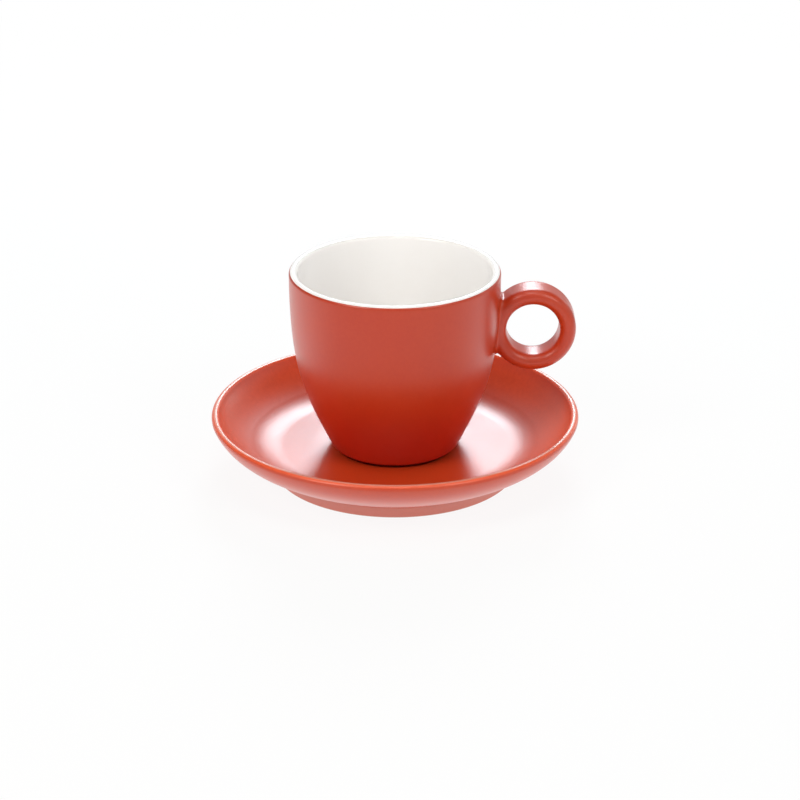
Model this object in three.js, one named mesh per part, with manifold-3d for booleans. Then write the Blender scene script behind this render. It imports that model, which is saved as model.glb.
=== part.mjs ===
// A latte cup standing on its saucer. The cup is a tapered bowl with a white inside and lip, a
// satin red coat over its outside and a round ring handle. The saucer is a deep dish on a foot ring,
// with a shallow seat for the cup's foot in the middle of its well.
// Millimetres, +Z up. The origin is the centre of the saucer's foot, on the table. The handle
// points along +X.

import * as THREE from "three";
import { mergeVertices } from "three/addons/utils/BufferGeometryUtils.js";
import Module from "manifold-3d";

// Saucer: outside. Slopes are degrees from the table, and a run is the length over which the
// wall's curve leaves its end in a straight line.
const saucerDiameter = 160;
const saucerHeight = 27;
const saucerRimThickness = 3.4;
const saucerRimSlope = 67;
const saucerRimRun = 10.2;
const saucerFootDiameter = 106.6;
const saucerFootHeight = 5.1;
const saucerFootDraft = 0.4;
const saucerFootSlope = 23;
const saucerFootRun = 13.5;

// Saucer: foot ring, floor and well
const saucerFootWidth = 4.6;
const saucerFootEdge = 0.5;
const saucerRecessDepth = 5;
const saucerRecessFillet = 2;
const saucerFloorThickness = 6;
const saucerWallThickness = 4.9;
const saucerWellRise = 3.4;
const seatDepth = 0.6;

// Cup: outside. The wall leans out from the upright by its lean at the base.
const cupHeight = 81.8;
const cupRimDiameter = 90.8;
const cupRimRun = 41.4;
const cupBaseDiameter = 56.2;
const cupBaseRound = 1.8;
const cupWallLean = 25.8;
const cupWallRun = 28;

// Cup: lip, wall, floor, foot ring and coat. The coat ends on the lip's rounding, at an angle above
// its outermost point.
const cupLipThickness = 3.6;
const cupWallThickness = 4.6;
const cupFloorThickness = 4.5;
const cupFloorRise = 8;
const cupFootHeight = 2;
const cupFootSetback = 3.6;
const cupFootWidth = 3.5;
const cupFootEdge = 0.4;
const cupRecessDepth = 1.8;
const coatThickness = 0.4;
const coatLipAngle = 45;

// Ring handle: its drop is measured from the cup's lip to the ring's top, and its web is the
// clay left between the cup's wall and the finger hole.
const handleHoleDiameter = 23.1;
const handleThickness = 6.9;
const handleDepth = 15.2;
const handleCornerRound = 3.3;
const handleDrop = 7.35;
const handleWeb = 3.15;
const handleFlare = 1.8;

// Clearances
const seatClearance = 1;
const jointGap = 0.3;
const coatGap = 0.02;

// Facets: sides round an axis, and steps along a stretch of outline
const saucerSides = 64;
const saucerWallSteps = 6;
const saucerInsideSteps = 4;
const cupSides = 48;
const cupWallSteps = 9;
const cupInsideSteps = 5;
const ringSides = 48;
const cornerSteps = 3;
const rimSteps = 6;
const weldDistance = 0.001;
const halvings = 40;

const wasm = await Module();
wasm.setup();

const redGlaze = new THREE.MeshStandardMaterial({ color: 0xb23c22, roughness: 0.42, metalness: 0 });
const whiteGlaze = new THREE.MeshStandardMaterial({ color: 0xf3f1ee, roughness: 0.16, metalness: 0 });

const radians = THREE.MathUtils.degToRad;
const lerp = THREE.MathUtils.lerp;
const at = (radius, height) => new THREE.Vector2(radius, height);

// Heights and radii that follow from the sizes above. Cup heights are above its own foot.
const wellHeight = saucerRecessDepth + saucerFloorThickness;
const seatHeight = wellHeight - seatDepth;
const lipRadius = cupLipThickness / 2;
const cupRimRadius = cupRimDiameter / 2;
const cupLipStart = cupHeight - lipRadius;
const cupLipCentre = at(cupRimRadius - lipRadius, cupLipStart);
const cupFloorHeight = cupFootHeight + cupFloorThickness;
const cupFootRadius = cupBaseDiameter / 2 - cupFootSetback;
const handleInnerRadius = handleHoleDiameter / 2;
const handleOuterRadius = handleInnerRadius + handleThickness;
const handleHeight = cupHeight - handleDrop - handleOuterRadius;

// Points of an arc, both ends included. Angles are degrees from the outward radius.
function arc(centre, radius, fromAngle, toAngle, steps) {
  const points = [];
  for (let i = 0; i <= steps; i++) {
    const angle = radians(lerp(fromAngle, toAngle, i / steps));
    points.push(at(centre.x + radius * Math.cos(angle), centre.y + radius * Math.sin(angle)));
  }
  return points;
}

// Point of a wall curve, moved towards the inside of the bowl by a thickness.
function inside(curve, t, thickness) {
  const tangent = curve.getTangent(t);
  return curve.getPoint(t).addScaledVector(at(-tangent.y, tangent.x), thickness);
}

// A wall curve moved inwards by one thickness all along, from its foot to its rim.
function insetWall(curve, thickness, steps) {
  const points = [];
  for (let i = 0; i <= steps; i++) {
    points.push(inside(curve, i / steps, thickness));
  }
  return points;
}

// Where along a rising curve, from 0 at its foot to 1 at its rim, it reaches a height.
function whereAtHeight(pointAt, height) {
  let low = 0;
  let high = 1;
  for (let i = 0; i < halvings; i++) {
    const middle = (low + high) / 2;
    if (pointAt(middle).y < height) {
      low = middle;
    } else {
      high = middle;
    }
  }
  return high;
}

// The inside of a bowl from its rim to its floor's edge. The wall thickens from rim to foot, and
// below the floor's rise it blends into the flat floor.
function bowlInside(curve, rimThickness, footThickness, floorHeight, rise, steps) {
  const wallPoint = (t) => inside(curve, t, lerp(footThickness, rimThickness, t));
  const blendAt = whereAtHeight(wallPoint, floorHeight + rise);
  const points = [];
  for (let i = 0; i <= steps; i++) {
    points.push(wallPoint(lerp(1, blendAt, i / steps)));
  }
  const blendStart = wallPoint(blendAt);
  const tangent = curve.getTangent(blendAt);
  const corner = at(blendStart.x - (rise * tangent.x) / tangent.y, floorHeight);
  const floorEdge = at(corner.x - corner.distanceTo(blendStart), floorHeight);
  const blend = new THREE.QuadraticBezierCurve(blendStart, corner, floorEdge);
  return [...points, ...blend.getPoints(steps).slice(1)];
}

// A surface turned about +Z from a profile that starts and ends on the axis or closes on itself.
function turned(profile, sides) {
  return new THREE.LatheGeometry(profile, sides).rotateX(Math.PI / 2);
}

// The bare surface of a geometry, with one vertex where several meet.
function welded(geometry) {
  const bare = new THREE.BufferGeometry();
  bare.setAttribute("position", geometry.getAttribute("position"));
  bare.setIndex(geometry.getIndex());
  return mergeVertices(bare, weldDistance);
}

function solidOf(geometry) {
  const surface = welded(geometry);
  const vertProperties = surface.getAttribute("position").array;
  const triVerts = new Uint32Array(surface.getIndex().array);
  return new wasm.Manifold(new wasm.Mesh({ numProp: 3, vertProperties, triVerts }));
}

function geometryOf(solid) {
  const { vertProperties, triVerts } = solid.getMesh();
  const geometry = new THREE.BufferGeometry();
  geometry.setAttribute("position", new THREE.BufferAttribute(vertProperties, 3));
  geometry.setIndex(new THREE.BufferAttribute(triVerts, 1));
  geometry.computeVertexNormals();
  return geometry;
}

function part(name, geometry, material) {
  const mesh = new THREE.Mesh(geometry, material);
  mesh.name = name;
  return mesh;
}

// The saucer's underside from the root of its foot ring to its rim.
const saucerRimRadius = saucerRimThickness / 2;
const saucerRimCentre = at(saucerDiameter / 2 - saucerRimRadius, saucerHeight - saucerRimRadius);

function saucerWall() {
  const footLine = radians(saucerFootSlope);
  const rimLine = radians(saucerRimSlope);
  const foot = at(saucerFootDiameter / 2 - saucerFootDraft, saucerFootHeight);
  const rim = arc(saucerRimCentre, saucerRimRadius, saucerRimSlope - 90, saucerRimSlope, 1)[0];
  const footControl = at(Math.cos(footLine), Math.sin(footLine)).multiplyScalar(saucerFootRun);
  const rimControl = at(Math.cos(rimLine), Math.sin(rimLine)).multiplyScalar(-saucerRimRun);
  return new THREE.CubicBezierCurve(foot, footControl.add(foot), rimControl.add(rim), rim);
}

function saucer() {
  const underside = saucerWall();
  const footOuter = saucerFootDiameter / 2;
  const footInner = footOuter - saucerFootWidth;
  const fillet = at(footInner - saucerRecessFillet, saucerRecessDepth - saucerRecessFillet);
  const rimAngle = saucerRimSlope - 90;
  const rim = arc(saucerRimCentre, saucerRimRadius, rimAngle, rimAngle + 180, rimSteps);
  const seatRadius = cupFootRadius + seatClearance;
  const profile = [
    at(0, saucerRecessDepth),
    ...arc(fillet, saucerRecessFillet, 90, 0, cornerSteps),
    at(footInner, saucerFootEdge),
    at(footInner + saucerFootEdge, 0),
    at(footOuter - saucerFootEdge, 0),
    at(footOuter, saucerFootEdge),
    ...insetWall(underside, 0, saucerWallSteps),
    ...rim.slice(1, -1),
    ...bowlInside(
      underside,
      saucerRimThickness,
      saucerWallThickness,
      wellHeight,
      saucerWellRise,
      saucerInsideSteps,
    ),
    at(seatRadius + seatDepth, wellHeight),
    at(seatRadius, seatHeight),
    at(0, seatHeight),
  ];
  return part("saucer", turned(profile, saucerSides), redGlaze);
}

// The cup's outside from its base to the start of its lip.
const cupBaseCentre = at(
  cupBaseDiameter / 2 - cupBaseRound * Math.cos(radians(cupWallLean)),
  cupFootHeight + cupBaseRound,
);

function cupWall() {
  const lean = radians(cupWallLean);
  const base = arc(cupBaseCentre, cupBaseRound, -cupWallLean, 0, 1)[0];
  const baseControl = at(Math.sin(lean), Math.cos(lean)).multiplyScalar(cupWallRun).add(base);
  const rimControl = at(cupRimRadius, cupLipStart - cupRimRun);
  return new THREE.CubicBezierCurve(base, baseControl, rimControl, at(cupRimRadius, cupLipStart));
}

const cupWallCurve = cupWall();

// The cup's outside, moved in by a depth, from its foot ring's edge round the base's edge and up
// over the lip to where the coat ends.
function cupOutside(depth) {
  return [
    at(cupFootRadius - depth, cupFootEdge),
    at(cupFootRadius - depth, cupFootHeight + depth),
    ...arc(cupBaseCentre, cupBaseRound - depth, -90, -cupWallLean, cornerSteps),
    ...insetWall(cupWallCurve, depth, cupWallSteps).slice(1),
    ...arc(cupLipCentre, lipRadius - depth, 0, coatLipAngle, cornerSteps).slice(1),
  ];
}

// Radius of the cup's outside at a height between its base and its lip.
function cupRadiusAt(height) {
  const t = whereAtHeight((along) => cupWallCurve.getPoint(along), height);
  return cupWallCurve.getPoint(t).x;
}

function cupBody() {
  const footInner = cupFootRadius - cupFootWidth;
  const profile = [
    at(0, cupRecessDepth),
    at(footInner, cupRecessDepth),
    at(footInner, cupFootEdge),
    at(footInner + cupFootEdge, 0),
    at(cupFootRadius - coatThickness, 0),
    ...cupOutside(coatThickness),
    ...arc(cupLipCentre, lipRadius, coatLipAngle, 180, rimSteps).slice(0, -1),
    ...bowlInside(
      cupWallCurve,
      cupLipThickness,
      cupWallThickness,
      cupFloorHeight,
      cupFloorRise,
      cupInsideSteps,
    ),
    at(0, cupFloorHeight),
  ];
  return part("cup_body", turned(profile, cupSides), whiteGlaze);
}

// Ring of the handle about its own axis, which runs along Y, before it is cut to the cup's wall.
// Near the wall its faces flare out, as a root that is smoothed into the wall does.
function handleRing(grow) {
  const radius = handleCornerRound + grow;
  const far = handleDepth / 2 - handleCornerRound;
  const inner = handleInnerRadius + handleCornerRound;
  const outer = handleOuterRadius - handleCornerRound;
  const section = [
    ...arc(at(outer, -far), radius, -90, 0, cornerSteps),
    ...arc(at(outer, far), radius, 0, 90, cornerSteps),
    ...arc(at(inner, far), radius, 90, 180, cornerSteps),
    ...arc(at(inner, -far), radius, 180, 270, cornerSteps),
  ];
  const centreX = cupRadiusAt(handleHeight) + handleWeb + handleInnerRadius;
  const ring = welded(new THREE.LatheGeometry([...section, section[0]], ringSides));
  ring.translate(centreX, 0, handleHeight);
  ring.computeVertexNormals();
  const position = ring.getAttribute("position");
  const normal = ring.getAttribute("normal");
  const point = new THREE.Vector3();
  const outward = new THREE.Vector3();
  for (let i = 0; i < position.count; i++) {
    point.fromBufferAttribute(position, i);
    outward.fromBufferAttribute(normal, i);
    const clear = Math.hypot(point.x, point.y) - cupRadiusAt(point.z);
    const near = handleFlare - THREE.MathUtils.clamp(clear, 0, handleFlare);
    point.addScaledVector(outward, handleFlare - Math.sqrt(handleFlare ** 2 - near ** 2));
    position.setXYZ(i, point.x, point.y, point.z);
  }
  return solidOf(ring);
}

// The handle's root follows the cup's wall under the coat, a joint's gap away from it.
function cupHandle() {
  const wall = cupOutside(coatThickness - jointGap);
  const profile = [at(0, wall[0].y), ...wall, at(0, wall[wall.length - 1].y)];
  const handle = handleRing(0).subtract(solidOf(turned(profile, cupSides)));
  return part("cup_handle", geometryOf(handle), redGlaze);
}

// The red coat lies on the cup's outside from its foot ring's edge to its lip, and stops short of
// the handle's root.
function cupOuterGlaze() {
  const outer = cupOutside(0);
  const inner = cupOutside(coatThickness - coatGap);
  const profile = [...outer, ...inner.reverse(), outer[0]];
  const coat = solidOf(turned(profile, cupSides)).subtract(handleRing(jointGap));
  return part("cup_outer_glaze", geometryOf(coat), redGlaze);
}

const cup = new THREE.Group();
cup.position.z = seatHeight;
cup.add(cupBody(), cupOuterGlaze(), cupHandle());

const cupAndSaucer = new THREE.Group();
cupAndSaucer.add(saucer(), cup);

export default cupAndSaucer;
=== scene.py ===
import math
from collections import namedtuple

import bpy
import numpy as np
from bpy.props import FloatProperty, FloatVectorProperty, IntProperty, PointerProperty
from bpy.types import Operator, Panel, PropertyGroup
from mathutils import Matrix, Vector


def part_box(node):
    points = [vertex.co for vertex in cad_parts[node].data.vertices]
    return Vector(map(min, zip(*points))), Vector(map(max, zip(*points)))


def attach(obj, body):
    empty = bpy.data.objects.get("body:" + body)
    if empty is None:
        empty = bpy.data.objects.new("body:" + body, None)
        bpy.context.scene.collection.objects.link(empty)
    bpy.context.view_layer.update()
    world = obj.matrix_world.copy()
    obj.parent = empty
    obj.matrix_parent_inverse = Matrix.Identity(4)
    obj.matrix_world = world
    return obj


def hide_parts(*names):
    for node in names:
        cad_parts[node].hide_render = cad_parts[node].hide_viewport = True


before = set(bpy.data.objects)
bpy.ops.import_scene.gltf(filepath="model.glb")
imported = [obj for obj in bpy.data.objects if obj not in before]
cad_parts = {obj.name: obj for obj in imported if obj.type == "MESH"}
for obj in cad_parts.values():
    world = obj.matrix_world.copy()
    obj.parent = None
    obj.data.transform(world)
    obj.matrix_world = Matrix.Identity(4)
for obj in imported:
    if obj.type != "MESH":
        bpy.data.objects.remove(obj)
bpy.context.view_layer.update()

bl_info = {
    "name": "Latte cup and saucer",
    "version": (1, 0, 0),
    "blender": (4, 5, 0),
    "location": "3D View > Sidebar > Cup and saucer",
    "description": "Turns a glazed cup with a ring handle, and the saucer that it stands on",
    "category": "Add Mesh",
}

# Corners of the CAD nodes' boxes. Sizes that they settle are read from them.
_, SAUCER_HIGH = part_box("saucer")
BODY_LOW, BODY_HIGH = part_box("cup_body")
COAT_LOW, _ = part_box("cup_outer_glaze")
HANDLE_LOW, HANDLE_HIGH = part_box("cup_handle")

MM = 0.001
WELD = 1e-6

# Points along a wall's curve at which it is sampled, to find a place on it by height
WALL_SAMPLES = 2001
BOWL_SAMPLES = 4001

# The handle's fillet has its wedge size where the ring's face is turned this far towards the wall. It is
# found by halving a span that starts at so many times the wedge's fillet.
WEDGE_FACING = 0.76
FILLET_SPAN = 2.5
FILLET_HALVINGS = 40
HANDLE_CREASE = math.radians(40)

# Noise in the glazes, in waves per metre, and the bands of it that are spread from 0 to 1
Noise = namedtuple("Noise", "scale detail roughness")
RED_CLOUD = Noise(34, 4, 0.6)
RED_MOTTLE = Noise(620, 3, 0.62)
RED_GRAIN = Noise(2600, 2, 0.5)
WHITE_RIPPLE = Noise(45, 2, 0.5)
WHITE_MOTTLE = Noise(700, 3, 0.6)
NOISE_MEAN = 0.5
NOISE_BAND = (0.3, 0.7)
CLAY_BAND = (0.35, 0.65)

# Red glaze: how far its noise makes it pale, rough, patchy, or deeper in its thick and painted-shade band,
# and what lies on it
PALE_BY_CLOUD, PALE_BY_MOTTLE, PALE_BY_GRAIN = 0.45, 0.4, 0.15
ROUGH_BY_CLOUD, ROUGH_BY_MOTTLE = 0.04, 0.08
PATCHY_BY_MOTTLE = 0.5
THICK_AND_SHADE_BY_CLOUD = 0.2
RED_IOR = 1.6
RED_BUMP, RED_BUMP_DEPTH = 0.04, 0.1 * MM
COAT, COAT_BY_GLOSS = 0.3, 0.5
COAT_ROUGHNESS = 0.28

# White glaze, and the clay where either glaze ends
WHITE_WARMTH = (0.985, 0.975, 0.96)
WARM_BY_RIPPLE, WARM_BY_MOTTLE = 0.5, 0.3
WHITE_ROUGH_BY_MOTTLE = 0.06
RELIEF_BY_RIPPLE, RELIEF_BY_MOTTLE = 0.8, 0.03
WHITE_IOR = 1.5
WHITE_BUMP, WHITE_BUMP_DEPTH = 0.08, 1 * MM
CLAY_DARK, CLAY_BY_MOTTLE = 0.8, 0.3
CLAY_ROUGH_ON_RED, CLAY_ROUGH_ON_WHITE = 0.5, 0.7

# Where the saucer's glaze changes: depths below the top of its rim, heights above the table, radii, and
# the cone that parts the well's wall from the outside. Light is painted into some of these: a pale painted
# highlight along the crest, a painted lighter upper wall in the well, and a painted paler foot ring that
# stands for light from the table
# Painted highlight: the crest is made paler with thin red and with clay, standing for the shine along the
# rim and in part for glaze that breaks thin there
CREST_DEPTHS, THIN_AND_LIT_ON_CREST = (1.6 * MM, 0.2 * MM), 0.2
BREAK_AND_HIGHLIGHT_DEPTHS, BROKEN_AND_HIGHLIT_ON_CREST = (0.26 * MM, 0.02 * MM), 0.4
WELL_CONE, WELL_CONE_SLOPE = (-49.4 * MM, -47.4 * MM), 1.2
WELL_WALL_HEIGHTS, THIN_AND_LIT_ON_WALL = (10 * MM, 22 * MM), 0.55
THIN_ALL_OVER = 0.2
# Painted light: the foot ring's side is painted paler with clay, for light from the table below it, in part
# thin glaze there
FOOT_FADE, CLAY_AND_LIGHT_ON_FOOT = 1 * MM, 0.24
SAUCER_BEARING_HEIGHTS = (0.25 * MM, 0.5 * MM)
UNDERSIDE_HEIGHTS = (9.5 * MM, 12 * MM)
UNDERSIDE_RADII = (56 * MM, 58 * MM)

# Where the cup's glazes change: heights above its foot, and above the table. Low on the cup the red is
# painted deeper, as painted shade and in part as glaze that ran thicker
CUP_BEARING_HEIGHTS = (0.2 * MM, 0.4 * MM)
CUP_THICK_AND_SHADE_HEIGHTS = (20 * MM, 60 * MM)

# The floor: radii round the saucer, the side that is towards the camera, and its plain colour
UNDER_RADII = (0.06, 0.12)
FRONT_SIDE = (-0.2, 0.7)
FAR_RADII, FAR_LOSS = (0.35, 0.6), 0.8
SHADE_RADII = (0.3, 0.8)
FLOOR_GREY = (0.9, 0.9, 0.9)

# The room: the heights at which its ceiling goes dark, and the side that the glaze mirrors as bright
CEILING_HEIGHTS = (0.3, 0.75)
BRIGHT_WAY = (0.5, 0.87)
BRIGHT_SIDE = (-0.2, 0.6)
ROOM_WHITE = (1, 1, 1)

# Soft boxes that the camera doesn't see, at angles from the back towards the right, and up
Lamp = namedtuple("Lamp", "name azimuth elevation width height radiance tint")
WARM = (1, 0.97, 0.91)
COOL = (0.82, 0.94, 1)
LAMPS = (
    Lamp("back_box", 4.2, 34.5, 0.36, 0.46, 16.5, COOL),
    Lamp("front_left_box", -135, 40, 0.4, 0.4, 8, WARM),
    Lamp("front_right_box", 135, 40, 0.4, 0.4, 5.2, WARM),
    Lamp("high_left_box", -90, 68, 0.4, 0.4, 0.8, WARM),
    Lamp("high_right_box", 90, 68, 0.4, 0.4, 1, WARM),
    Lamp("high_front_box", 180, 68, 0.4, 0.4, 4.6, WARM),
    Lamp("top_box", 0, 89, 0.4, 0.4, 0.7, WARM),
    Lamp("back_right_strip", 40, 10, 0.14, 0.3, 2.5, WARM),
)


def length(name, description, default):
    return FloatProperty(name=name, description=description, default=default, precision=5, unit="LENGTH")


def angle(name, description, degrees):
    return FloatProperty(
        name=name, description=description, default=math.radians(degrees), subtype="ANGLE", unit="ROTATION"
    )


def colour(name, description, default):
    return FloatVectorProperty(
        name=name, description=description, default=default, size=3, min=0, max=1, subtype="COLOR"
    )


def point(name, description, default):
    return FloatVectorProperty(name=name, description=description, default=default, subtype="TRANSLATION")


def factor(name, description, default):
    return FloatProperty(name=name, description=description, default=default, min=0, max=1, subtype="FACTOR")


def number(name, description, default):
    return FloatProperty(name=name, description=description, default=default)


def count(name, description, default):
    return IntProperty(name=name, description=description, default=default, min=3)


class SaucerSizes(PropertyGroup):
    """Sizes of the saucer. Slopes are measured from the table"""

    radius: length("Radius", "From the axis to the outside of the rim", SAUCER_HIGH.x)
    height: length("Height", "From the table to the top of the rim", SAUCER_HIGH.z)
    rim_thickness: length("Rim thickness", "Thickness of the round rim", 3.4 * MM)
    rim_slope: angle("Rim slope", "Slope of the wall at the rim", 67)
    rim_run: length("Rim run", "Length over which the wall leaves the rim straight", 10.2 * MM)
    foot_radius: length("Foot radius", "Outside of the foot ring", 53.3 * MM)
    foot_height: length("Foot height", "Height of the foot ring's outside", 5.1 * MM)
    foot_draft: length("Foot draft", "How far the foot ring's outside draws in", 0.4 * MM)
    foot_slope: angle("Foot slope", "Slope of the wall where it leaves the foot ring", 23)
    foot_run: length("Foot run", "Length over which the wall leaves the foot straight", 13.5 * MM)
    foot_width: length("Foot width", "Width of the foot ring", 4.6 * MM)
    foot_edge: length("Foot edge", "Rounding of the foot ring's edges", 0.7 * MM)
    recess_depth: length("Recess depth", "Hollow inside the foot ring", 5 * MM)
    recess_fillet: length("Recess fillet", "Fillet between recess and foot ring", 2 * MM)
    wall_thickness: length("Wall thickness", "Thickness of the wall at the foot", 4.9 * MM)
    well_height: length("Well height", "Height of the flat well", 11 * MM)
    well_rise: length("Well rise", "Height over which the well turns into the wall", 3.4 * MM)
    seat_radius: length("Seat radius", "Flat seat that the cup's foot stands in", 25.5 * MM)
    seat_edge: length("Seat edge", "Rounding of the seat's edge", 0.6 * MM)
    fillet_steps: count("Fillet steps", "Steps along the recess fillet", 8)
    edge_steps: count("Edge steps", "Steps along the small edges", 6)
    wall_steps: count("Wall steps", "Steps up the outside", 40)
    rim_steps: count("Rim steps", "Steps round the rim", 24)
    bowl_steps: count("Bowl steps", "Steps down the wall's inside, and again to the well", 32)
    sides: count("Sides", "Steps round the axis", 192)


class CupSizes(PropertyGroup):
    """Sizes of the cup. Heights are measured from its own foot"""

    rim_radius: length("Rim radius", "Outside of the rim", -COAT_LOW.x)
    height: length("Height", "From the foot to the top of the lip", BODY_HIGH.z - BODY_LOW.z)
    rim_run: length("Rim run", "Length over which the wall leaves the rim upright", 41.4 * MM)
    base_radius: length("Base radius", "Outside of the base", 28.1 * MM)
    base_round: length("Base round", "Rounding of the base's edge", 1.8 * MM)
    wall_lean: angle("Wall lean", "Lean of the wall from the upright at the base", 25.8)
    wall_run: length("Wall run", "Length over which the wall leaves the base straight", 28 * MM)
    lip_thickness: length("Lip thickness", "Thickness of the round lip", 3.6 * MM)
    wall_thickness: length("Wall thickness", "Thickness of the wall at the base", 4.6 * MM)
    floor_height: length("Floor height", "Height of the flat floor inside", 6.5 * MM)
    floor_rise: length("Floor rise", "Height over which the floor turns into the wall", 8 * MM)
    foot_height: length("Foot height", "Height of the foot ring", 2 * MM)
    foot_radius: length("Foot radius", "Outside of the foot ring", 24.5 * MM)
    foot_width: length("Foot width", "Width of the foot ring", 3.5 * MM)
    foot_edge: length("Foot edge", "Rounding of the foot ring's edges", 0.4 * MM)
    recess_depth: length("Recess depth", "Hollow inside the foot ring", 1.8 * MM)
    coat: length("Coat thickness", "Thickness of the red coat", 0.4 * MM)
    coat_gap: length("Coat gap", "Room between coat and wall", 0.02 * MM)
    coat_edge: length("Coat edge", "Rounding of the coat's upper edge", 0.15 * MM)
    coat_end: angle("Coat end", "How far round the lip the coat goes, above its outermost point", 45)
    edge_steps: count("Edge steps", "Steps along the small edges", 5)
    round_steps: count("Round steps", "Steps round the base's edge, and over the lip to the coat's end", 8)
    wall_steps: count("Wall steps", "Steps up the outside", 56)
    lip_steps: count("Lip steps", "Steps round the white part of the lip", 24)
    bowl_steps: count("Bowl steps", "Steps down the wall's inside, and again to the floor", 40)
    sides: count("Sides", "Steps round the axis", 192)


class HandleSizes(PropertyGroup):
    """Sizes of the ring handle"""

    thickness: length("Thickness", "From the finger hole to the outside of the ring", 6.9 * MM)
    depth: length("Depth", "Depth of the ring along its own axis", 15.2 * MM)
    corner: length("Corner", "Rounding of the ring's edges", 3.3 * MM)
    crown: length("Crown", "Swell of the faces between the rounded edges", 0.12 * MM)
    side_fillet: length("Side fillet", "Fillet between the ring's faces and the cup", 1.5 * MM)
    wedge_fillet: length("Wedge fillet", "Fillet above and below, where ring and cup form a wedge", 2.6 * MM)
    sink: length("Sink", "How far below the coat's face the fillet runs out", 0.04 * MM)
    root: length("Root", "How far the ring goes into the cup's wall", 0.25 * MM)
    free_arc: angle("Free arc", "Arc of the ring that stays clear of the cup", 236)
    free_steps: count("Free steps", "Steps along the free arc", 118)
    root_steps: count("Root steps", "Steps along the arc that meets the cup", 248)
    corner_steps: count("Corner steps", "Steps round each edge of the ring's section", 8)
    flat_steps: count("Flat steps", "Steps across each face of the ring's section", 9)


class GlazeColours(PropertyGroup):
    """Colours and roughness of the glazes and the bare clay"""

    red: colour("Red", "Red glaze at its full thickness", (0.5, 0.029, 0.002))
    red_pale: colour("Pale red", "Red glaze where it clouds over", (0.54, 0.042, 0.004))
    # The thin red is also painted on the saucer's crest and upper well wall as painted light
    red_thin_and_lit: colour("Thin red", "Red glaze where it runs thin", (0.88, 0.105, 0.027))
    # The thick red is painted low on the cup as painted shade, in part glaze that ran thicker
    red_thick_and_shaded: colour("Thick red", "Red glaze where it ran down and is deepest", (0.49, 0.013, 0.001))
    white: colour("White", "White glaze", (0.96, 0.94, 0.93))
    # The clay is also mixed in as a painted highlight on the saucer's crest and as painted light on its foot
    # ring
    clay: colour("Clay", "Clay where no glaze covers it", (0.66, 0.6, 0.52))
    red_roughness: factor("Red roughness", "Roughness of the red glaze", 0.39)
    white_roughness: factor("White roughness", "Roughness of the white glaze", 0.12)


class StageSettings(PropertyGroup):
    """Camera, floor and light"""

    camera_place: point("Camera", "Place of the camera", (0, -1.0598, 0.4864))
    camera_aim: point("Aim", "Point in the middle of the view", (0.00217, 0, 0.0314))
    camera_lens: number("Lens", "Focal length in millimetres", 119.03)
    floor_size: length("Floor size", "Side of the square floor", 8)
    floor_shade: factor("Floor shade", "Share of its own shading that the white floor shows", 0.1)
    sky: number("Sky", "Strength of the even light from the white room", 1)
    mirrored_sky: number("Mirrored sky", "Strength of the room as the glaze mirrors it", 0.65)
    table_glow: number("Table glow", "Strength of the table as the glaze mirrors it", 1.3)
    table_dim: factor("Table dim", "How much of that glow is lost towards the camera", 0.45)
    table_fill: factor("Table fill", "Share of that glow that lights matt faces under the saucer", 0.45)
    lamp_distance: length("Lamp distance", "From the lamps to the point that they face", 1.2)
    lamp_aim: length("Lamp aim", "Height of the point that the lamps face", 40 * MM)


def arc(centre, radius, start, end, steps):
    """Points of an arc with both ends. Angles are degrees from the outward radius."""
    turn = np.radians(np.linspace(start, end, steps + 1))
    return np.asarray(centre) + radius * np.column_stack((np.cos(turn), np.sin(turn)))


class Wall:
    """A wall's outside in section, a cubic curve from its foot to its rim."""

    def __init__(self, foot, foot_control, rim_control, rim):
        self.control = np.array((foot, foot_control, rim_control, rim))

    def point(self, along):
        t = np.atleast_1d(along)[:, None]
        a, b, c, d = self.control
        return (1 - t) ** 3 * a + 3 * (1 - t) ** 2 * t * b + 3 * (1 - t) * t**2 * c + t**3 * d

    def tangent(self, along):
        t = np.atleast_1d(along)[:, None]
        a, b, c = np.diff(self.control, axis=0)
        slope = (1 - t) ** 2 * a + 2 * (1 - t) * t * b + t**2 * c
        return slope / np.linalg.norm(slope, axis=1, keepdims=True)

    def inside(self, along, thickness):
        """Points of the wall moved towards the inside of the bowl."""
        tangent = self.tangent(along)
        inward = np.column_stack((-tangent[:, 1], tangent[:, 0]))
        return self.point(along) + np.reshape(thickness, (-1, 1)) * inward

    def inset(self, thickness, steps):
        return self.inside(np.linspace(0, 1, steps + 1), thickness)

    def radius_at(self, height):
        points = self.point(np.linspace(0, 1, WALL_SAMPLES))
        return np.interp(height, points[:, 1], points[:, 0])

    def lean_at(self, height):
        """Sine of the wall's lean from the upright at a height."""
        along = np.linspace(0, 1, WALL_SAMPLES)
        return np.interp(height, self.point(along)[:, 1], self.tangent(along)[:, 0])

    def bowl(self, rim_thickness, foot_thickness, floor, rise, steps):
        """The bowl's inside from its rim to the edge of its flat floor."""

        def wall_point(t):
            return self.inside(t, foot_thickness + (rim_thickness - foot_thickness) * t)

        along = np.linspace(0, 1, BOWL_SAMPLES)
        blend_at = np.interp(floor + rise, wall_point(along)[:, 1], along)
        wall = wall_point(np.linspace(1, blend_at, steps + 1))
        start = wall[-1]
        tangent = self.tangent(blend_at)[0]
        corner = np.array((start[0] - rise * tangent[0] / tangent[1], floor))
        edge = corner - (np.linalg.norm(start - corner), 0)
        t = np.linspace(0, 1, steps + 1)[1:, None]
        blend = (1 - t) ** 2 * start + 2 * (1 - t) * t * corner + t**2 * edge
        return np.vstack((wall, blend))


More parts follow.
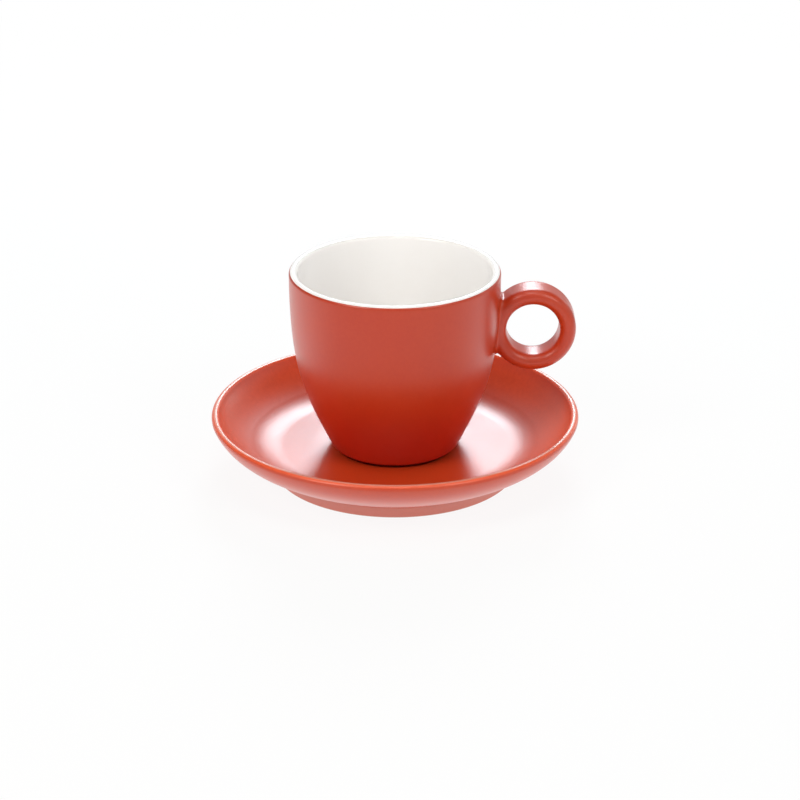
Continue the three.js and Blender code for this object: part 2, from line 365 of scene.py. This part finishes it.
def saucer_wall(sizes):
    """The saucer's wall, and the centre of its rim's rounding."""
    rim_radius = sizes.rim_thickness / 2
    rim_centre = np.array((sizes.radius - rim_radius, sizes.height - rim_radius))
    foot = np.array((sizes.foot_radius - sizes.foot_draft, sizes.foot_height))
    foot_line = np.array((math.cos(sizes.foot_slope), math.sin(sizes.foot_slope)))
    rim_line = np.array((math.cos(sizes.rim_slope), math.sin(sizes.rim_slope)))
    rim = rim_centre + rim_radius * np.array((rim_line[1], -rim_line[0]))
    return Wall(foot, foot + sizes.foot_run * foot_line, rim - sizes.rim_run * rim_line, rim), rim_centre


def saucer_section(sizes):
    """Half section of the saucer, from the recess round the rim to the seat."""
    wall, rim_centre = saucer_wall(sizes)
    edge = sizes.foot_edge
    foot_inner = sizes.foot_radius - sizes.foot_width
    fillet = (foot_inner - sizes.recess_fillet, sizes.recess_depth - sizes.recess_fillet)
    rim_start = math.degrees(sizes.rim_slope) - 90
    well_middle = sizes.seat_radius * 1.5
    seat_outer = sizes.seat_radius + sizes.seat_edge
    seat_height = sizes.well_height - sizes.seat_edge
    return np.vstack((
        (0, sizes.recess_depth),
        (foot_inner / 2, sizes.recess_depth),
        arc(fillet, sizes.recess_fillet, 90, 0, sizes.fillet_steps),
        arc((foot_inner + edge, edge), edge, 180, 270, sizes.edge_steps),
        arc((sizes.foot_radius - edge, edge), edge, 270, 360, sizes.edge_steps),
        wall.inset(0, sizes.wall_steps),
        arc(rim_centre, sizes.rim_thickness / 2, rim_start, rim_start + 180, sizes.rim_steps)[1:-1],
        wall.bowl(
            sizes.rim_thickness, sizes.wall_thickness, sizes.well_height, sizes.well_rise, sizes.bowl_steps
        ),
        (well_middle, sizes.well_height),
        arc((seat_outer, seat_height), sizes.seat_edge, 90, 180, sizes.edge_steps),
        (sizes.seat_radius / 2, seat_height),
        (0, seat_height),
    ))


def cup_wall(sizes):
    """The cup's wall, and the centre of its base's rounding."""
    lean = np.array((math.sin(sizes.wall_lean), math.cos(sizes.wall_lean)))
    inward = sizes.base_round * lean[1]
    centre = np.array((sizes.base_radius - inward, sizes.foot_height + sizes.base_round))
    base = centre + sizes.base_round * np.array((lean[1], -lean[0]))
    rim = np.array((sizes.rim_radius, sizes.height - sizes.lip_thickness / 2))
    return Wall(base, base + sizes.wall_run * lean, rim - (0, sizes.rim_run), rim), centre


def cup_lip(sizes):
    """Centre and radius of the lip's rounding."""
    radius = sizes.lip_thickness / 2
    return np.array((sizes.rim_radius - radius, sizes.height - radius)), radius


def cup_outside(sizes, depth):
    """The cup's outside, moved in by a depth, from the foot ring's edge over the lip to the coat's end."""
    wall, centre = cup_wall(sizes)
    lean = math.degrees(sizes.wall_lean)
    lip, lip_radius = cup_lip(sizes)
    side = sizes.foot_radius - depth
    return np.vstack((
        (side, sizes.foot_edge),
        (side, sizes.foot_height + depth),
        arc(centre, sizes.base_round - depth, -90, -lean, sizes.round_steps),
        wall.inset(depth, sizes.wall_steps)[1:],
        arc(lip, lip_radius - depth, 0, math.degrees(sizes.coat_end), sizes.round_steps)[1:],
    ))


def cup_body_section(sizes):
    """Half section of the cup's body, from the recess round the lip to the floor."""
    wall, _ = cup_wall(sizes)
    edge = sizes.foot_edge
    foot_inner = sizes.foot_radius - sizes.foot_width
    foot_outer = sizes.foot_radius - sizes.coat
    lip, lip_radius = cup_lip(sizes)
    return np.vstack((
        (0, sizes.recess_depth),
        (foot_inner, sizes.recess_depth),
        arc((foot_inner + edge, edge), edge, 180, 270, sizes.edge_steps),
        arc((foot_outer - edge, edge), edge, 270, 360, sizes.edge_steps)[:-1],
        cup_outside(sizes, sizes.coat),
        arc(lip, lip_radius, math.degrees(sizes.coat_end), 180, sizes.lip_steps)[:-1],
        wall.bowl(
            sizes.lip_thickness, sizes.wall_thickness, sizes.floor_height, sizes.floor_rise, sizes.bowl_steps
        ),
        (0, sizes.floor_height),
    ))


def cup_coat_section(sizes):
    """Closed section of the red coat, which lies on the cup's outside."""
    outer = cup_outside(sizes, 0)
    inner = cup_outside(sizes, sizes.coat - sizes.coat_gap)
    lip, lip_radius = cup_lip(sizes)
    edge = sizes.coat_edge
    turn_at = sizes.coat_end - edge / lip_radius
    edge_centre = lip + (lip_radius - edge) * np.array((math.cos(turn_at), math.sin(turn_at)))
    top = arc(edge_centre, edge, math.degrees(turn_at), math.degrees(turn_at) + 90, sizes.edge_steps)
    below = outer[outer[:, 1] < top[0, 1] - edge]
    return np.vstack((below, top, inner[::-1], below[:1]))


def draw_section(name, points):
    """A new object in edit mode, with one line of vertices extruded from point to point."""
    bpy.ops.object.select_all(action="DESELECT")
    bpy.ops.mesh.primitive_plane_add(size=MM)
    piece = bpy.context.object
    piece.name = name
    piece.data.name = name
    bpy.ops.object.mode_set(mode="EDIT")
    bpy.ops.mesh.merge(type="CENTER")
    bpy.ops.transform.translate(value=points[0])
    for start, end in zip(points, points[1:]):
        bpy.ops.mesh.extrude_vertices_move(TRANSFORM_OT_translate={"value": end - start})
    bpy.ops.mesh.select_all(action="SELECT")
    return piece


def close_mesh():
    """Merges the doubles of the mesh in edit mode, turns its faces outwards and shades it smooth."""
    bpy.ops.mesh.select_all(action="SELECT")
    bpy.ops.mesh.remove_doubles(threshold=WELD)
    bpy.ops.mesh.normals_make_consistent(inside=False)
    bpy.ops.object.mode_set(mode="OBJECT")
    bpy.ops.object.shade_smooth()


def turn(name, section, sides, lift=0.0):
    """A piece turned about the upright axis from its section."""
    piece = draw_section(name, [Vector((radius, 0, height + lift)) for radius, height in section])
    bpy.ops.mesh.spin(steps=sides, angle=math.tau, center=(0, 0, 0), axis=(0, 0, 1))
    close_mesh()
    return piece


def check_closed(piece):
    """Stops the script if a piece's mesh has an open or doubled edge."""
    faces_at = np.zeros(len(piece.data.edges), int)
    edges = np.zeros(len(piece.data.loops), int)
    piece.data.loops.foreach_get("edge_index", edges)
    np.add.at(faces_at, edges, 1)
    if np.any(faces_at != 2):
        raise RuntimeError(f"{piece.name} has {np.sum(faces_at != 2)} edges without two faces")


def finish_piece(piece, material, body, node):
    """Glazes a closed piece, attaches it to the body that it rides on and hides the CAD node that it stands
    for.
    """
    check_closed(piece)
    piece.data.materials.clear()
    piece.data.materials.append(material)
    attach(piece, body)
    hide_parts(node)


class Value:
    """A socket in a node tree. Arithmetic on values adds Math nodes."""

    def __init__(self, finish, socket):
        self.finish = finish
        self.socket = socket

    def math(self, operation, *values):
        return self.finish.node("Math", {"operation": operation}, dict(enumerate(values)))

    def __add__(self, other):
        return self.math("ADD", self, other)

    __radd__ = __add__

    def __sub__(self, other):
        return self.math("SUBTRACT", self, other)

    def __rsub__(self, other):
        return self.math("SUBTRACT", other, self)

    def __mul__(self, other):
        return self.math("MULTIPLY", self, other)

    __rmul__ = __mul__

    def __truediv__(self, other):
        return self.math("DIVIDE", self, other)


class Finish:
    """A node tree that is being written."""

    def __init__(self, tree):
        self.tree = tree
        tree.nodes.clear()

    def node(self, kind, settings=None, sockets=None, output=0):
        """Adds a node. Settings are set first, then each socket gets its value or link."""
        node = self.tree.nodes.new("ShaderNode" + kind)
        for name, value in (settings or {}).items():
            setattr(node, name, value)
        for name, value in (sockets or {}).items():
            socket = node.inputs[name]
            if isinstance(value, Value):
                self.tree.links.new(value.socket, socket)
            elif socket.type == "RGBA":
                socket.default_value = (*value, 1)
            else:
                socket.default_value = value
        return Value(self, node.outputs[output])

    def place(self):
        return self.node("TexCoord", output="Object")

    def part(self, vector, axis):
        """One coordinate of a vector."""
        return self.node("SeparateXYZ", {}, {"Vector": vector}, axis)

    def noise(self, place, noise):
        sockets = {"Vector": place}
        sockets.update({"Scale": noise.scale, "Detail": noise.detail, "Roughness": noise.roughness})
        return self.node("TexNoise", {}, sockets, "Fac")

    def step(self, value, start, end):
        """Smooth step of a value, from 0 at start to 1 at end."""
        sockets = {"Value": value, "From Min": start, "From Max": end}
        return self.node("MapRange", {"interpolation_type": "SMOOTHSTEP"}, sockets)

    def mix(self, share, first, second):
        """Mix of two colours."""
        return self.node("Mix", {"data_type": "RGBA"}, {0: share, 6: first, 7: second}, 2)

    def bump(self, height, strength, depth):
        return self.node("Bump", {}, {"Strength": strength, "Distance": depth, "Height": height})

    def output(self, kind, surface):
        output = self.tree.nodes.new("ShaderNodeOutput" + kind)
        self.tree.links.new(surface.socket, output.inputs["Surface"])


def new_material(name):
    material = bpy.data.materials.new(name)
    material.use_nodes = True
    return material, Finish(material.node_tree)


def radius_and_height(finish, place):
    """Distance from the upright axis, and height, of a place on the piece."""
    flat = finish.node("VectorMath", {"operation": "MULTIPLY"}, {0: place, 1: (1, 1, 0)})
    radius = finish.node("VectorMath", {"operation": "LENGTH"}, {0: flat}, "Value")
    return radius, finish.part(place, "Z")


def red_glaze(name, colours, thin_and_lit=None, thick_and_shaded=None, broken_and_highlit=None, bare=None, gloss=None):
    """Satin red glaze. Each mask is a function that gives 1 where the glaze is thin and pale, with light
    painted in as paler red; thick and deep, with shade painted in as deeper red; broken so that the clay
    shows through, with a painted highlight; gone so that the clay is bare, with a paler foot painted for
    light from below; or glossy.
    """
    material, finish = new_material(name)
    place = finish.place()
    radius, height = radius_and_height(finish, place)
    cloud = finish.step(finish.noise(place, RED_CLOUD), *NOISE_BAND)
    mottle = finish.noise(place, RED_MOTTLE)
    grain = finish.noise(place, RED_GRAIN)
    speckle = finish.step(mottle, *NOISE_BAND)
    pale = cloud * PALE_BY_CLOUD + speckle * PALE_BY_MOTTLE + grain * PALE_BY_GRAIN
    base = finish.mix(pale, colours.red, colours.red_pale)
    rough = (mottle - NOISE_MEAN) * ROUGH_BY_MOTTLE + (cloud - NOISE_MEAN) * ROUGH_BY_CLOUD
    roughness = colours.red_roughness + rough
    patchy = 1 + (mottle - NOISE_MEAN) * PATCHY_BY_MOTTLE
    # thin_and_lit paints the red paler: glaze that runs thin, and painted light
    if thin_and_lit:
        base = finish.mix(thin_and_lit(finish, radius, height) * patchy, base, colours.red_thin_and_lit)
    # thick_and_shaded paints the red deeper: painted shade, in part thicker glaze
    if thick_and_shaded:
        clouded = 1 - (1 - cloud) * THICK_AND_SHADE_BY_CLOUD
        base = finish.mix(thick_and_shaded(finish, radius, height) * clouded, base, colours.red_thick_and_shaded)
    # broken_and_highlit mixes in clay: glaze that breaks thin, and a painted highlight
    if broken_and_highlit:
        base = finish.mix(broken_and_highlit(finish, radius, height) * patchy, base, colours.clay)
    # bare lays clay on real bare clay, and also on the paler part of a mask, such as the saucer's foot ring,
    # as painted light
    if bare:
        clay_mask = bare(finish, radius, height)
        dark_clay = tuple(CLAY_DARK * c for c in colours.clay)
        clay = finish.mix(finish.step(mottle, *CLAY_BAND) * CLAY_BY_MOTTLE, colours.clay, dark_clay)
        base = finish.mix(clay_mask, base, clay)
        roughness = roughness + clay_mask * CLAY_ROUGH_ON_RED
    sockets = {
        "Base Color": base,
        "Roughness": roughness,
        "Normal": finish.bump(mottle, RED_BUMP, RED_BUMP_DEPTH),
        "IOR": RED_IOR,
        "Coat Weight": gloss(finish, radius, height) * COAT_BY_GLOSS + COAT if gloss else COAT,
        "Coat Roughness": COAT_ROUGHNESS,
    }
    finish.output("Material", finish.node("BsdfPrincipled", {}, sockets))
    return material


def white_glaze(name, colours, bare):
    """Gloss white glaze with a faint ripple. It leaves the clay bare where bare is 1."""
    material, finish = new_material(name)
    place = finish.place()
    radius, height = radius_and_height(finish, place)
    ripple = finish.noise(place, WHITE_RIPPLE)
    mottle = finish.noise(place, WHITE_MOTTLE)
    warm = tuple(c * k for c, k in zip(colours.white, WHITE_WARMTH))
    clay_mask = bare(finish, radius, height)
    base = finish.mix(ripple * WARM_BY_RIPPLE + mottle * WARM_BY_MOTTLE, colours.white, warm)
    rough = (mottle - NOISE_MEAN) * WHITE_ROUGH_BY_MOTTLE + clay_mask * CLAY_ROUGH_ON_WHITE
    relief = ripple * RELIEF_BY_RIPPLE + mottle * RELIEF_BY_MOTTLE
    sockets = {
        "Base Color": finish.mix(clay_mask, base, colours.clay),
        "Roughness": colours.white_roughness + rough,
        "Normal": finish.bump(relief, WHITE_BUMP, WHITE_BUMP_DEPTH),
        "IOR": WHITE_IOR,
    }
    finish.output("Material", finish.node("BsdfPrincipled", {}, sockets))
    return material


def saucer_masks(sizes):
    """Where the saucer's glaze is thin, broken, bare or glossy, and where light is painted in: a pale
    highlight along the crest, a lighter upper wall in the well and a paler foot ring.
    """

    def near_top(finish, height, depths):
        return finish.step(height, *(sizes.height - depth for depth in depths))

    def thin_and_lit(finish, radius, height):
        # Painted light: the well's upper wall is painted paler to stand for light falling on it, in part
        # glaze that ran down from it
        inside = finish.step(height * WELL_CONE_SLOPE - radius, *WELL_CONE)
        wall = inside * finish.step(height, *WELL_WALL_HEIGHTS)
        # Painted highlight: the crest's share paints it paler, in part glaze that runs thin there
        return near_top(finish, height, CREST_DEPTHS) * THIN_AND_LIT_ON_CREST + wall * THIN_AND_LIT_ON_WALL + THIN_ALL_OVER

    def broken_and_highlit(finish, radius, height):
        # Painted highlight: clay mixed into the crest paints a pale line along the rim, in part glaze that
        # breaks thin there
        return near_top(finish, height, BREAK_AND_HIGHLIGHT_DEPTHS) * BROKEN_AND_HIGHLIT_ON_CREST

    def bare(finish, radius, height):
        # Painted light: the foot ring's side gets a share of clay that stands for light from the table; the
        # bearing face is really bare
        foot = 1 - finish.step(height, sizes.foot_height - FOOT_FADE, sizes.foot_height)
        return 1 - finish.step(height, *SAUCER_BEARING_HEIGHTS) * (1 - foot * CLAY_AND_LIGHT_ON_FOOT)

    def gloss(finish, radius, height):
        return (1 - finish.step(height, *UNDERSIDE_HEIGHTS)) * finish.step(radius, *UNDERSIDE_RADII)

    return {"thin_and_lit": thin_and_lit, "broken_and_highlit": broken_and_highlit, "bare": bare, "gloss": gloss}


class CUPSET_OT_saucer(Operator):
    """Turns the saucer and glazes it"""

    bl_idname = "cupset.saucer"
    bl_label = "Saucer"

    def execute(self, context):
        sizes = context.scene.saucer_sizes
        piece = turn("saucer_dish", saucer_section(sizes), sizes.sides)
        glaze = red_glaze("saucer_red_glaze", context.scene.glaze_colours, **saucer_masks(sizes))
        finish_piece(piece, glaze, "saucer", "saucer")
        return {"FINISHED"}


class CUPSET_OT_cup_body(Operator):
    """Turns the cup's body, white inside and on its lip"""

    bl_idname = "cupset.cup_body"
    bl_label = "Cup body"

    def execute(self, context):
        sizes = context.scene.cup_sizes
        piece = turn("cup_bowl", cup_body_section(sizes), sizes.sides, BODY_LOW.z)

        def bare(finish, radius, height):
            return 1 - finish.step(height, *(BODY_LOW.z + above for above in CUP_BEARING_HEIGHTS))

        glaze = white_glaze("cup_white_glaze", context.scene.glaze_colours, bare)
        finish_piece(piece, glaze, "cup", "cup_body")
        return {"FINISHED"}


class CUPSET_OT_cup_coat(Operator):
    """Turns the red coat over the cup's outside"""

    bl_idname = "cupset.cup_coat"
    bl_label = "Cup coat"

    def execute(self, context):
        sizes = context.scene.cup_sizes
        piece = turn("cup_red_coat", cup_coat_section(sizes), sizes.sides, BODY_LOW.z)

        # Painted shade: the coat is deeper red low down, in part glaze that ran thicker
        def thick_and_shaded(finish, radius, height):
            return 1 - finish.step(height, *CUP_THICK_AND_SHADE_HEIGHTS)

        glaze = red_glaze("cup_red_glaze", context.scene.glaze_colours, thick_and_shaded=thick_and_shaded)
        finish_piece(piece, glaze, "cup", "cup_outer_glaze")
        return {"FINISHED"}


def ring_section(sizes, inner):
    """Closed section of the ring: distances from its axis, and places along that axis."""
    half = np.array((sizes.thickness / 2, sizes.depth / 2))
    far = half - sizes.corner
    middle = inner + half[0]
    corners = [
        arc((sx * far[0], sy * far[1]), sizes.corner, start, start + 90, sizes.corner_steps)
        for sx, sy, start in ((1, 1, 0), (-1, 1, 90), (-1, -1, 180), (1, -1, 270))
    ]
    share = np.linspace(0, 1, sizes.flat_steps + 1)[1:-1, None]
    points = []
    for corner, following in zip(corners, corners[1:] + corners[:1]):
        points.append(corner)
        points.append(corner[-1] + share * (following[0] - corner[-1]))
    points = np.vstack(points)
    level = 1 - np.clip(points[:, ::-1] / half[::-1], -1, 1) ** 2
    swell = 1 + sizes.crown / half * level
    swell[points[:, 0] > 0, 0] = 1  # The outside keeps its radius
    return points * swell + (middle, 0)


def round_join(first, second, radius):
    """Signed distance of a join with a round fillet, from the distances of its two sides."""
    reach = np.hypot(np.maximum(radius - first, 0), np.maximum(radius - second, 0))
    return np.maximum(radius, np.minimum(first, second)) - reach


def flow_into_wall(piece, sizes, wall, centre, inner):
    """Moves the ring's vertices near the cup out onto a fillet that runs into the cup's wall."""
    mesh = piece.data
    co = np.zeros(len(mesh.vertices) * 3)
    normal = np.zeros_like(co)
    mesh.vertices.foreach_get("co", co)
    mesh.vertices.foreach_get("normal", normal)
    co = co.reshape(-1, 3)
    normal = normal.reshape(-1, 3)
    half = np.array((sizes.thickness / 2, sizes.depth / 2))

    def from_ring(p):
        from_middle = np.hypot(p[:, 0] - centre.x, p[:, 2] - centre.z) - inner - half[0]
        beyond = np.abs(np.column_stack((from_middle, p[:, 1]))) - half + sizes.corner
        out = np.linalg.norm(np.maximum(beyond, 0), axis=1)
        return out + np.minimum(beyond.max(axis=1), 0) - sizes.corner

    def wall_lean(p):
        return wall.lean_at(p[:, 2] - BODY_LOW.z)

    def from_wall(p):
        upright = np.sqrt(1 - wall_lean(p) ** 2)
        return (np.hypot(p[:, 0], p[:, 1]) - wall.radius_at(p[:, 2] - BODY_LOW.z)) * upright + sizes.sink

    lean = wall_lean(co)
    level = np.sqrt(1 - lean**2) / np.hypot(co[:, 0], co[:, 1])
    wall_normal = np.column_stack((co[:, 0] * level, co[:, 1] * level, -lean))
    facing = np.sum(normal * wall_normal, axis=1)
    wedge = np.clip(-facing / WEDGE_FACING, 0, 1)
    radius = sizes.side_fillet + (sizes.wedge_fillet - sizes.side_fillet) * wedge
    way = normal + wall_normal
    way /= np.linalg.norm(way, axis=1, keepdims=True)
    start = from_ring(co)
    low = np.zeros(len(co))
    high = np.full(len(co), FILLET_SPAN * sizes.wedge_fillet)
    for _ in range(FILLET_HALVINGS):
        middle = (low + high) / 2
        moved = co + way * middle[:, None]
        within = round_join(from_ring(moved) - start, from_wall(moved), radius) < 0
        low = np.where(within, middle, low)
        high = np.where(within, high, middle)
    move = np.where(from_wall(co) < radius, low, 0)
    mesh.vertices.foreach_set("co", (co + way * move[:, None]).ravel())
    mesh.update()


def cut_to_wall(piece, sizes, cup_sizes):
    """Cuts away what of the ring lies deeper in the cup's wall than its root."""
    outside = cup_outside(cup_sizes, sizes.root)
    section = np.vstack(((0, outside[0, 1]), outside, (0, outside[-1, 1])))
    cutter = turn("handle_cutter", section, cup_sizes.sides, BODY_LOW.z)
    bpy.ops.object.select_all(action="DESELECT")
    piece.select_set(True)
    bpy.context.view_layer.objects.active = piece
    cut = piece.modifiers.new("cut_to_wall", "BOOLEAN")
    cut.operation = "DIFFERENCE"
    cut.solver = "EXACT"
    cut.object = cutter
    bpy.ops.object.modifier_apply(modifier=cut.name)
    bpy.data.objects.remove(cutter)


class CUPSET_OT_cup_handle(Operator):
    """Spins the ring handle and runs it into the cup's wall with a fillet"""

    bl_idname = "cupset.cup_handle"
    bl_label = "Cup handle"

    def execute(self, context):
        sizes = context.scene.handle_sizes
        cup_sizes = context.scene.cup_sizes
        outer = (HANDLE_HIGH.z - HANDLE_LOW.z) / 2
        centre = Vector((HANDLE_HIGH.x - outer, 0, HANDLE_LOW.z + outer))
        inner = outer - sizes.thickness
        start = sizes.free_arc / 2
        outward = Vector((math.cos(start), 0, math.sin(start)))
        section = ring_section(sizes, inner)
        points = [centre + outward * radius + Vector((0, along, 0)) for radius, along in section]
        piece = draw_section("cup_ring_handle", points + points[:1])
        bpy.ops.mesh.remove_doubles(threshold=WELD)
        root_arc = math.tau - sizes.free_arc
        for reach, steps in ((sizes.free_arc, sizes.free_steps), (root_arc, sizes.root_steps)):
            bpy.ops.mesh.spin(steps=steps, angle=reach, center=centre, axis=(0, 1, 0))
        close_mesh()
        wall, _ = cup_wall(cup_sizes)
        flow_into_wall(piece, sizes, wall, centre, inner)
        cut_to_wall(piece, sizes, cup_sizes)
        bpy.ops.object.shade_smooth_by_angle(angle=HANDLE_CREASE)
        glaze = red_glaze("handle_red_glaze", context.scene.glaze_colours)
        finish_piece(piece, glaze, "cup", "cup_handle")
        return {"FINISHED"}


def either_ray(finish, *kinds):
    """1 for rays of the given kinds."""
    share = 0
    for kind in kinds:
        share = share + finish.node("LightPath", output=f"Is {kind} Ray")
    return finish.node("Clamp", {}, {"Value": share})


def white_floor(settings):
    """Material of the floor: white to the camera with a soft shadow, a glowing table to the glaze."""
    material, finish = new_material("white_floor")
    camera_ray = either_ray(finish, "Camera")
    mirrored = either_ray(finish, "Glossy", "Transmission")
    place = finish.place()
    radius, _ = radius_and_height(finish, place)
    depth = finish.part(place, "Y")
    under = 1 - finish.step(radius, *UNDER_RADII)
    front = finish.step(depth * -1 / radius, *FRONT_SIDE) * (1 - under)
    near = 1 - finish.step(radius, *FAR_RADII) * FAR_LOSS
    glow = (1 - front * settings.table_dim) * near * settings.table_glow
    plain = finish.node("BsdfDiffuse", {}, {"Color": FLOOR_GREY})
    bright = finish.node("Emission", {}, {"Strength": camera_ray + (1 - camera_ray) * glow})
    seen = camera_ray + mirrored
    shade = (1 - finish.step(radius, *SHADE_RADII)) * settings.floor_shade
    share = seen * (1 - shade) + (1 - seen) * under * settings.table_fill
    finish.output("Material", finish.node("MixShader", {}, {0: share, 1: plain, 2: bright}))
    return material


def white_room(settings):
    """World that is white to the camera, and darker above and in front to the object."""
    world = bpy.data.worlds.new("white_room")
    world.use_nodes = True
    finish = Finish(world.node_tree)
    camera_ray = either_ray(finish, "Camera")
    mirrored = either_ray(finish, "Glossy", "Transmission")
    direction = finish.node("TexCoord", output="Generated")
    across, depth, height = (finish.part(direction, axis) for axis in "XYZ")
    ceiling = finish.step(height, *CEILING_HEIGHTS)
    bright_side = finish.step(across * BRIGHT_WAY[0] + depth * BRIGHT_WAY[1], *BRIGHT_SIDE)
    room = mirrored * bright_side * settings.mirrored_sky + (1 - mirrored) * settings.sky
    strength = camera_ray + (1 - camera_ray) * room * (1 - ceiling)
    finish.output("World", finish.node("Background", {}, {"Color": ROOM_WHITE, "Strength": strength}))
    return world


def add_lamp(settings, lamp):
    """Adds a soft box that faces the object."""
    azimuth, elevation = math.radians(lamp.azimuth), math.radians(lamp.elevation)
    flat = math.cos(elevation)
    outward = Vector((math.sin(azimuth) * flat, math.cos(azimuth) * flat, math.sin(elevation)))
    place = Vector((0, 0, settings.lamp_aim)) + settings.lamp_distance * outward
    bpy.ops.object.light_add(type="AREA", location=place)
    light = bpy.context.object
    light.name = lamp.name
    light.data.shape = "RECTANGLE"
    light.data.size = lamp.width
    light.data.size_y = lamp.height
    light.data.energy = lamp.radiance * math.pi * lamp.width * lamp.height
    light.data.color = lamp.tint
    light.rotation_euler = outward.to_track_quat("Z", "Y").to_euler()
    light.visible_camera = False


class CUPSET_OT_stage(Operator):
    """Sets the floor, the light and the camera"""

    bl_idname = "cupset.stage"
    bl_label = "Stage"

    def execute(self, context):
        settings = context.scene.stage_settings
        context.scene.view_settings.view_transform = "Standard"
        bpy.ops.object.select_all(action="DESELECT")
        bpy.ops.mesh.primitive_plane_add(size=settings.floor_size)
        floor = context.object
        floor.name = "floor"
        floor.data.materials.append(white_floor(settings))
        context.scene.world = white_room(settings)
        for lamp in LAMPS:
            add_lamp(settings, lamp)
        bpy.ops.object.camera_add(location=settings.camera_place)
        camera = context.object
        camera.data.lens = settings.camera_lens
        aim = Vector(settings.camera_aim) - Vector(settings.camera_place)
        camera.rotation_euler = aim.to_track_quat("-Z", "Y").to_euler()
        context.scene.camera = camera
        return {"FINISHED"}


class CUPSET_PT_pieces(Panel):
    """The pieces of the cup and saucer, and their sizes"""

    bl_idname = "CUPSET_PT_pieces"
    bl_label = "Cup and saucer"
    bl_space_type = "VIEW_3D"
    bl_region_type = "UI"
    bl_category = "Cup and saucer"

    def draw(self, context):
        for operator in OPERATORS:
            self.layout.operator(operator.bl_idname)
        for name in GROUPS:
            box = self.layout.box()
            group = getattr(context.scene, name)
            for prop in group.bl_rna.properties:
                if prop.identifier not in ("rna_type", "name"):
                    box.prop(group, prop.identifier)


GROUPS = {
    "saucer_sizes": SaucerSizes,
    "cup_sizes": CupSizes,
    "handle_sizes": HandleSizes,
    "glaze_colours": GlazeColours,
    "stage_settings": StageSettings,
}
OPERATORS = (CUPSET_OT_saucer, CUPSET_OT_cup_body, CUPSET_OT_cup_coat, CUPSET_OT_cup_handle, CUPSET_OT_stage)


def register():
    for cls in (*GROUPS.values(), *OPERATORS, CUPSET_PT_pieces):
        bpy.utils.register_class(cls)
    for name, group in GROUPS.items():
        setattr(bpy.types.Scene, name, PointerProperty(type=group))


def unregister():
    for name in GROUPS:
        delattr(bpy.types.Scene, name)
    for cls in (CUPSET_PT_pieces, *reversed(OPERATORS), *reversed(GROUPS.values())):
        bpy.utils.unregister_class(cls)


def main():
    register()
    bpy.ops.cupset.saucer()
    bpy.ops.cupset.cup_body()
    bpy.ops.cupset.cup_coat()
    bpy.ops.cupset.cup_handle()
    bpy.ops.cupset.stage()


if __name__ == "__main__":
    main()
